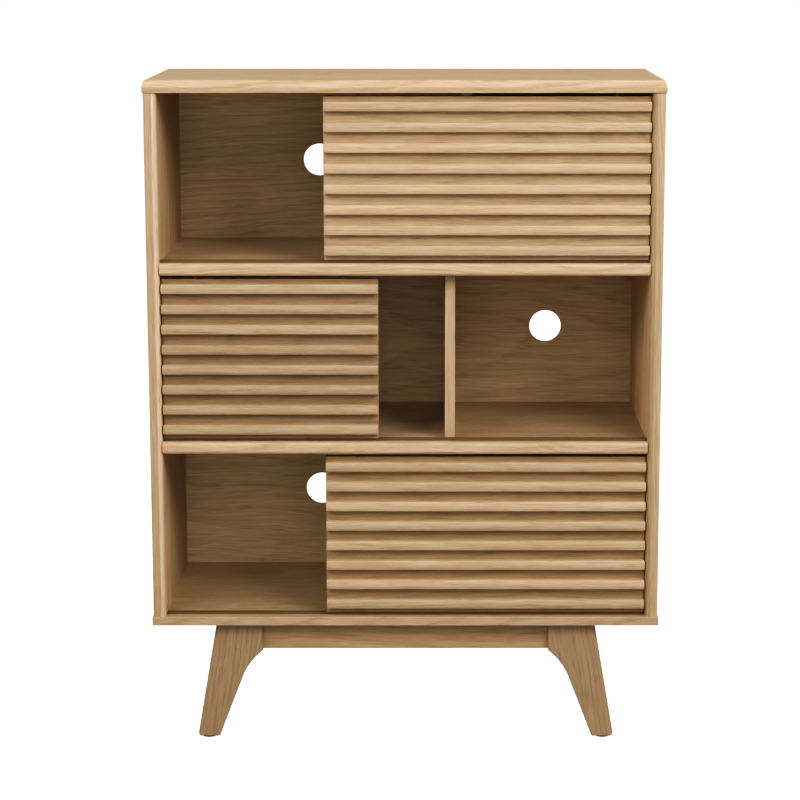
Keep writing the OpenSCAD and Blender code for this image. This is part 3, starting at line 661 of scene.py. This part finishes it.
# the outline: a crowned front with rounded arrises between two points on the board
outline = ladder.add("GeometryNodeMeshLine", None, {"Count": given["frontSteps"] + 2})
sweep = (index - 1) / (given["frontSteps"] - 1) * 2 - 1
held = ladder.maths("MAXIMUM", ladder.maths("MINIMUM", sweep, 1), -1)
upright = (held * 1.5 - held * held * held * 0.5) * given["height"] / 2
flat = given["height"] / 2 - given["arris"]
past = ladder.maths("MAXIMUM", ladder.maths("ABSOLUTE", upright) - flat, 0)
fall = given["crown"] - (given["crown"] ** 2 - upright ** 2) ** 0.5
fall = fall + given["arris"] - ladder.maths("MAXIMUM", given["arris"] ** 2 - past ** 2, 0) ** 0.5
outward = (fall - given["proud"]) * (ladder.maths("ABSOLUTE", sweep) < 1.0001)
outline = ladder.add("GeometryNodeSetPosition", None, {
    "Geometry": outline, "Position": ladder.point(upright, outward, 0),
})
outline = ladder.add("GeometryNodeMeshToCurve", None, {"Mesh": outline})
outline = ladder.add("GeometryNodeSetSplineCyclic", None, {0: outline, "Cyclic": True})
# the run: points close together at both ends, where the outline shrinks to round them
run = ladder.add("GeometryNodeMeshLine", None, {"Count": given["endSteps"] * 2})
fromRight = index > given["endSteps"] - 0.5
place = index * (1 - fromRight) + (given["endSteps"] * 2 - 1 - index) * fromRight
angle = place / (given["endSteps"] - 1) * (math.pi / 2)
inset = given["endRound"] * (1 - ladder.maths("COSINE", angle))
distance = inset * (1 - fromRight) + (given["length"] - inset) * fromRight
run = ladder.add("GeometryNodeSetPosition", None, {
    "Geometry": run, "Position": ladder.point(0, 0, distance),
})
run = ladder.add("GeometryNodeMeshToCurve", None, {"Mesh": run})
one = ladder.add("GeometryNodeCurveToMesh", None, {
    "Curve": run, "Profile Curve": outline, "Fill Caps": True,
    "Scale": 1 - given["endShrink"] * (1 - ladder.maths("SINE", angle)),
})
one = ladder.add("GeometryNodeTransform", None, {"Geometry": one, "Rotation": (0, math.radians(90), 0)})
rungs = ladder.add("GeometryNodeMeshLine", None, {
    "Count": given["count"], "Start Location": given["start"], "Offset": ladder.point(0, 0, given["pitch"]),
})
rungs = ladder.add("GeometryNodeInstanceOnPoints", None, {"Points": rungs, "Instance": one})
closeTree(ladder, rungs, given["finish"])

for door, look in doors.items():
    low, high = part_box(door + "_door_slats")
    boxes = sorted(looseParts(door + "_door_slats"), key=lambda box: box[0].z)
    count, height = len(boxes), boxes[0][1].z - boxes[0][0].z
    pitch = boxes[1][0].z - boxes[0][0].z
    strips = {"start": low.z - (pitch - height) / 2, "pitch": pitch}
    slatWood = oakFinish(door + "SlatWood", alongX, look["slatShift"], look["slatTone"], 0.05, 0.7, strips)
    name = camelName(door + "_door_slats")
    slats = grown(name, bpy.data.meshes.new(name), ladder, ladderInputs, {
        "start": (low.x, high.y, low.z + height / 2), "count": count, "pitch": pitch,
        "length": high.x - low.x, "height": height, "proud": high.y - low.y, "finish": slatWood, **slat,
    })
    claim(slats, door + "_door_slats")
    boardWood = oakFinish(door + "BoardWood", alongX, look["boardShift"], look["boardTone"], 0.06, 0.8)
    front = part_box(door + "_door_panel")[0].y + 1e-5
    wide, tall = runsAlong(0, board["leastEdge"]), runsAlong(2, board["leastEdge"])
    softened(door + "_door_panel", boardWood, [
        (board["endRound"], board["steps"], lambda edge: tall(edge) and edge.verts[0].co.y < front),
        (board["arris"], board["steps"], lambda edge: wide(edge) or tall(edge)),
    ])
print("doors made:", len(doors))

# slant is how far the dish's walls lean
wheel = {"round": 0.0005, "dish": 0.0007, "rim": 0.0018, "hub": 0.0026, "play": 0.0002, "slant": 0.0003}
housing = {"round": 0.0004, "steps": 3, "leastEdge": 0.005}
guide = {"round": 0.0006, "peg": 0.003, "reach": 0.0115}

for door in doors:
    for side in ("left", "right"):
        node = door + "_door_" + side + "_wheel"
        low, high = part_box(node)
        radius, half = (high.z - low.z) / 2, (high.y - low.y) / 2
        axleLow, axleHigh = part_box(door + "_door_roller_axles")
        bore = (axleHigh.z - axleLow.z) / 2 + wheel["play"]
        edge, bed, rim = wheel["round"], wheel["dish"] - half, radius - wheel["rim"]
        flank = [(bore, -half), (wheel["hub"], -half), (wheel["hub"] + wheel["slant"], bed)]
        flank += [(rim, bed), (rim + wheel["slant"], -half)]
        flank += [(radius - edge, -half), (radius - 0.3 * edge, 0.3 * edge - half), (radius, edge - half)]
        profile = flank + [(reach, -height) for reach, height in reversed(flank)]
        piece = turned(camelName(node), whiteNylon, profile, 1, [(low + high) / 2])
        claim(piece, node)
    softened(door + "_door_roller_housings", whiteNylon, [
        (housing["round"], housing["steps"], runsAlong(0, housing["leastEdge"])),
    ])
    node = door + "_door_top_guides"
    pegs = looseParts(node)
    radius, height = (pegs[0][1].x - pegs[0][0].x) / 2, pegs[0][1].z - pegs[0][0].z
    peg, reach, edge = guide["peg"], guide["reach"], guide["round"]
    profile = [(0, 0), (radius - edge, 0), (radius, edge), (radius, height - reach - edge)]
    profile += [(radius - edge, height - reach), (peg, height - reach), (peg, height - edge)]
    profile += [(peg - 0.3 * edge, height - 0.3 * edge), (peg - edge, height), (0, height)]
    centres = [((low.x + high.x) / 2, (low.y + high.y) / 2, low.z) for low, high in pegs]
    claim(turned(camelName(node), brownPlastic, profile, 2, centres), node)
print("door gear made")


# legs stand on splayed lines, so each one's grain is turned by the splay
base = {
    "splay": 9.8, "legTone": (0.62, 0.61, 0.60), "apronTone": (0.79, 0.76, 0.72),
    "legArris": 0.0012, "apronArris": 0.0010, "plateRound": 0.0005, "steps": 6, "plateSteps": 3,
    "leastLegEdge": 0.025, "leastApronEdge": 0.1, "leastPlateEdge": 0.015,
}

for index, node in enumerate(("front_left_leg", "front_right_leg", "rear_left_leg", "rear_right_leg")):
    side = 1 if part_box(node)[0].x > 0 else -1
    turn = (0, math.radians(90 + side * base["splay"]), 0)
    shift = (1.3 * index, 0.04 * index, 0.02)
    wood = oakFinish(camelName(node) + "Wood", turn, shift, base["legTone"], 0.03)
    softened(node, wood, [
        (base["legArris"], base["steps"], lambda edge: edge.calc_length() > base["leastLegEdge"]),
    ])
for index, (node, turn) in enumerate({
    "front_apron": alongX, "rear_apron": alongX, "left_side_rail": alongY, "right_side_rail": alongY,
}.items()):
    shift = (2.1 * index + 0.6, 0.05 * index, -0.15)
    wood = oakFinish(camelName(node) + "Wood", turn, shift, base["apronTone"], 0.02, 0.9)
    along = 0 if turn == alongX else 1
    softened(node, wood, [(base["apronArris"], base["steps"], runsAlong(along, base["leastApronEdge"]))])
softened("joint_plates", zincPlate, [
    (base["plateRound"], base["plateSteps"], lambda edge: edge.calc_length() > base["leastPlateEdge"]),
])

glide = {"round": 0.0004, "nail": 0.0011, "pad": 0.003, "point": 0.003}
glides = looseParts("foot_glides")
low, high = glides[0]
radius, height = (high.x - low.x) / 2, high.z - low.z
edge, nail, pad = glide["round"], glide["nail"], glide["pad"]
profile = [(0, 0), (radius - 2.5 * edge, 0), (radius - edge, 0.3 * edge)]
profile += [(radius - 0.3 * edge, edge), (radius, 2 * edge), (radius, pad)]
profile += [(nail, pad), (nail, height - glide["point"]), (0, height)]
centres = [((low.x + high.x) / 2, (low.y + high.y) / 2, low.z) for low, high in glides]
claim(turned("footGlides", blackPlastic, profile, 2, centres), "foot_glides")

# stick-on covers over the cam holes, each facing along its thin side
cover = {"round": 0.00018}
covers = {}
for low, high in looseParts("cam_covers"):
    size = high - low
    covers.setdefault(min(range(3), key=lambda axis: size[axis]), []).append((low, high))
pieces = []
for axis, boxes in covers.items():
    low, high = boxes[0]
    radius, thick, edge = max(high - low) / 2, (high - low)[axis], cover["round"]
    profile = [(0, -thick / 2), (radius - edge, -thick / 2), (radius, edge - thick / 2)]
    profile += [(radius, thick / 2 - edge), (radius - edge, thick / 2), (0, thick / 2)]
    pieces.append(turned("camCovers", coverFoil, profile, axis, [(low + high) / 2 for low, high in boxes]))
shape = bmesh.new()
for piece in pieces:
    shape.from_mesh(piece.data)
shape.to_mesh(pieces[0].data)
shape.free()
for piece in pieces[1:]:
    bpy.data.meshes.remove(piece.data)
claim(pieces[0], "cam_covers")
print("base, glides and covers made")


# one screw is a grid rolled up: column by column round it, row by row from the head's middle to the tip
screwTree, given, screwInputs = openTree("screwSet", {
    "geometry": "geometry", "headRadius": "number", "headHeight": "number", "crown": "number",
    "sink": "number", "shankRadius": "number", "length": "number", "tip": "number",
    "threadDepth": "number", "turns": "count", "recess": "number", "around": "count", "finish": "finish",
})
rows = given["turns"] * 2 + 10
roll = screwTree.add("GeometryNodeMeshGrid", None, {"Vertices X": given["around"] + 1, "Vertices Y": rows})
index = screwTree.add("GeometryNodeInputIndex")
column = screwTree.maths("FLOOR", (index + 0.5) / rows)
row = index - column * rows
angle = column / given["around"] * (2 * math.pi)
inHead = row < 6.5
underHead = (row > 6.5) * (row < 7.5)
atTip = row > rows - 1.5
inShank = (row > 7.5) * (1 - atTip)
turn = row - 8
step = turn / (given["turns"] * 2)
shank = given["shankRadius"] - given["threadDepth"] * screwTree.maths("MODULO", turn, 2)
radius = inHead * given["headRadius"] * row / 6 + inShank * shank
neck = given["headRadius"] * (1 - given["sink"]) + given["shankRadius"] * given["sink"]
radius = radius + underHead * neck
groove = (screwTree.maths("ABSOLUTE", screwTree.maths("COSINE", angle * 2)) > 0.85) * (row < 3.5)
groove = screwTree.maths("MAXIMUM", groove, row < 0.5) * (1 - row / 5)
bodyLength = given["length"] - given["headHeight"] - given["tip"]
height = inHead * (0 - given["crown"] * (row / 6) ** 2 - given["recess"] * groove)
height = height - underHead * given["headHeight"] - inShank * (given["headHeight"] + bodyLength * step)
height = height - atTip * given["length"]
oneScrew = screwTree.add("GeometryNodeSetPosition", None, {
    "Geometry": roll,
    "Position": screwTree.point(
        radius * screwTree.maths("COSINE", angle), radius * screwTree.maths("SINE", angle), height
    ),
})
oneScrew = screwTree.add("GeometryNodeMergeByDistance", None, {"Geometry": oneScrew, "Distance": 1e-6})
facing = screwTree.add("GeometryNodeInputNamedAttribute", {"data_type": "FLOAT_VECTOR"}, {"Name": "facing"})
turnTo = screwTree.add("FunctionNodeAlignRotationToVector", {"axis": "Z"}, {"Vector": facing})
placed = screwTree.add("GeometryNodeInstanceOnPoints", None, {
    "Points": given["geometry"], "Instance": oneScrew, "Rotation": turnTo,
})
closeTree(screwTree, placed, given["finish"])

panHead = {
    "headHeight": 0.0016, "crown": 0.0007, "sink": 0.0, "shankRadius": 0.0015, "tip": 0.002,
    "threadDepth": 0.0003, "turns": 8, "recess": 0.0008, "around": 24,
}
sunkHead = {
    "headHeight": 0.0040, "crown": 0.0002, "sink": 1.0, "shankRadius": 0.0025, "tip": 0.004,
    "threadDepth": 0.0006, "turns": 18, "recess": 0.0016, "around": 24,
}
# each set: its kind of screw, and the way its heads face for a place y
screws = {
    "plate_screws": (panHead, lambda y: (0, -1 if y > 0 else 1, 0)),
    "back_panel_screws": (panHead, lambda y: (0, 1, 0)),
    "carcass_screws": (sunkHead, lambda y: (0, 0, -1)),
    "apron_screws": (sunkHead, lambda y: (0, 0, -1)),
}
for node, (look, facingAt) in screws.items():
    places, facings = [], []
    for low, high in looseParts(node):
        facing = Vector(facingAt((low.y + high.y) / 2))
        middle, size = (low + high) / 2, high - low
        length = abs(size.dot(facing))
        places.append(middle + facing * (length / 2))
        facings.append(facing)
        headRadius = min(size) / 2
    values = {"headRadius": headRadius, "length": length, "finish": zincPlate, **look}
    piece = grown(camelName(node), spotMesh(node, places, facings), screwTree, screwInputs, values)
    claim(piece, node)
print("screws made")


tracks = {"arris": 0.0003, "steps": 3, "leastEdge": 0.1}


def dress(node, finish):
    # a fitting that keeps the CAD's own shape and only gets its finish
    cadNodes[node].data.materials.clear()
    cadNodes[node].data.materials.append(finish)


for bay in ("upper", "middle", "lower"):
    for node in (bay + "_floor_track", bay + "_guide_channel"):
        softened(node, brownPlastic, [(tracks["arris"], tracks["steps"], runsAlong(0, tracks["leastEdge"]))])
    dress(bay + "_door_roller_axles", zincPlate)
for node in ("cam_discs", "cam_bolts", "leg_bolts"):
    dress(node, zincPlate)
dress("wood_dowels", beechWood)
print("tracks and kept fittings finished")


# floor, backdrop and lights
studio = {
    "floorSize": 40, "floorTone": 0.86, "floorGlow": 0.85, "floorBounce": 0.28, "floorRoughness": 0.85,
    "mottleBase": 0.985, "mottle": 0.03, "backdrop": 1.0, "fill": 0.33, "fillColour": (1.0, 0.94, 0.86),
    "aim": (0, 0, 0.6),
    "toneCurve": (
        (0.042, 0.020), (0.086, 0.054), (0.164, 0.137), (0.247, 0.254), (0.472, 0.538), (0.70, 0.765),
    ),
    "blueCurve": ((0.030, 0.029), (0.060, 0.056), (0.150, 0.154), (0.30, 0.315), (0.60, 0.62)),
}
lamps = {
    "keyRight": {"place": (1.8, -2.3, 2.75), "size": 1.7, "power": 67},
    "keyLeft": {"place": (-2.0, -2.2, 2.6), "size": 1.8, "power": 41},
    "front": {"place": (0.1, -4.4, 1.7), "size": 2.4, "power": 28},
    "sideRight": {"place": (3.1, -1.0, 1.5), "size": 1.2, "power": 16},
    "sideLeft": {"place": (-3.1, -1.0, 1.5), "size": 1.2, "power": 14},
    "rearLeft": {"place": (-2.6, 3.4, 1.6), "size": 2.0, "power": 58},
    "rearRight": {"place": (2.8, 3.0, 1.5), "size": 2.0, "power": 42},
}

floorFinish, graph = newFinish("floorFinish")
place = graph.add("ShaderNodeTexCoord", None, None, out="Object")
mottle = studio["mottleBase"] + graph.noise(place) * studio["mottle"]
dim = graph.add("ShaderNodeBsdfPrincipled", None, {
    "Base Color": graph.multiply((studio["floorBounce"],) * 3, mottle),
    "Roughness": studio["floorRoughness"],
})
pale = graph.add("ShaderNodeBsdfPrincipled", None, {
    "Base Color": graph.multiply((studio["floorTone"],) * 3, mottle),
    "Roughness": studio["floorRoughness"],
    "Emission Color": (1, 1, 1, 1), "Emission Strength": studio["floorGlow"],
})
# the camera sees the pale one, and the dim one throws little light up under the slats
toCamera = graph.add("ShaderNodeLightPath", None, None, out="Is Camera Ray")
both = graph.add("ShaderNodeMixShader", None, {0: toCamera, 1: dim, 2: pale})
graph.add("ShaderNodeOutputMaterial", None, {"Surface": both})
shape = bmesh.new()
bmesh.ops.create_grid(shape, x_segments=8, y_segments=8, size=studio["floorSize"] / 2)
floorMesh = bpy.data.meshes.new("floor")
shape.to_mesh(floorMesh)
shape.free()
floorMesh.materials.append(floorFinish)
floor = addPiece("floor", floorMesh)

world = bpy.data.worlds.new("studio")
world.use_nodes = True
world.node_tree.nodes.clear()
graph = Graph(world.node_tree)
seen = graph.add("ShaderNodeLightPath", None, None, out="Is Camera Ray")
strength = studio["fill"] + seen * (studio["backdrop"] - studio["fill"])
tint = graph.blend(seen, studio["fillColour"], (1, 1, 1))
sky = graph.add("ShaderNodeBackground", None, {"Color": tint, "Strength": strength})
graph.add("ShaderNodeOutputWorld", None, {"Surface": sky})
bpy.context.scene.world = world

for name, lamp in lamps.items():
    light = bpy.data.lights.new(name, "AREA")
    light.energy, light.size = lamp["power"], lamp["size"]
    piece = bpy.data.objects.new(name, light)
    piece.location = lamp["place"]
    aim = Vector(studio["aim"]) - Vector(lamp["place"])
    piece.rotation_euler = aim.to_track_quat("-Z", "Y").to_euler()
    bpy.context.collection.objects.link(piece)
viewing = bpy.context.scene.view_settings
viewing.view_transform = "Standard"
viewing.use_curve_mapping = True
# the mapping's curves are red, green, blue and all three together
for channel, curve in ((3, "toneCurve"), (2, "blueCurve")):
    for position in studio[curve]:
        viewing.curve_mapping.curves[channel].points.new(*position)
viewing.curve_mapping.update()
print("studio lit")
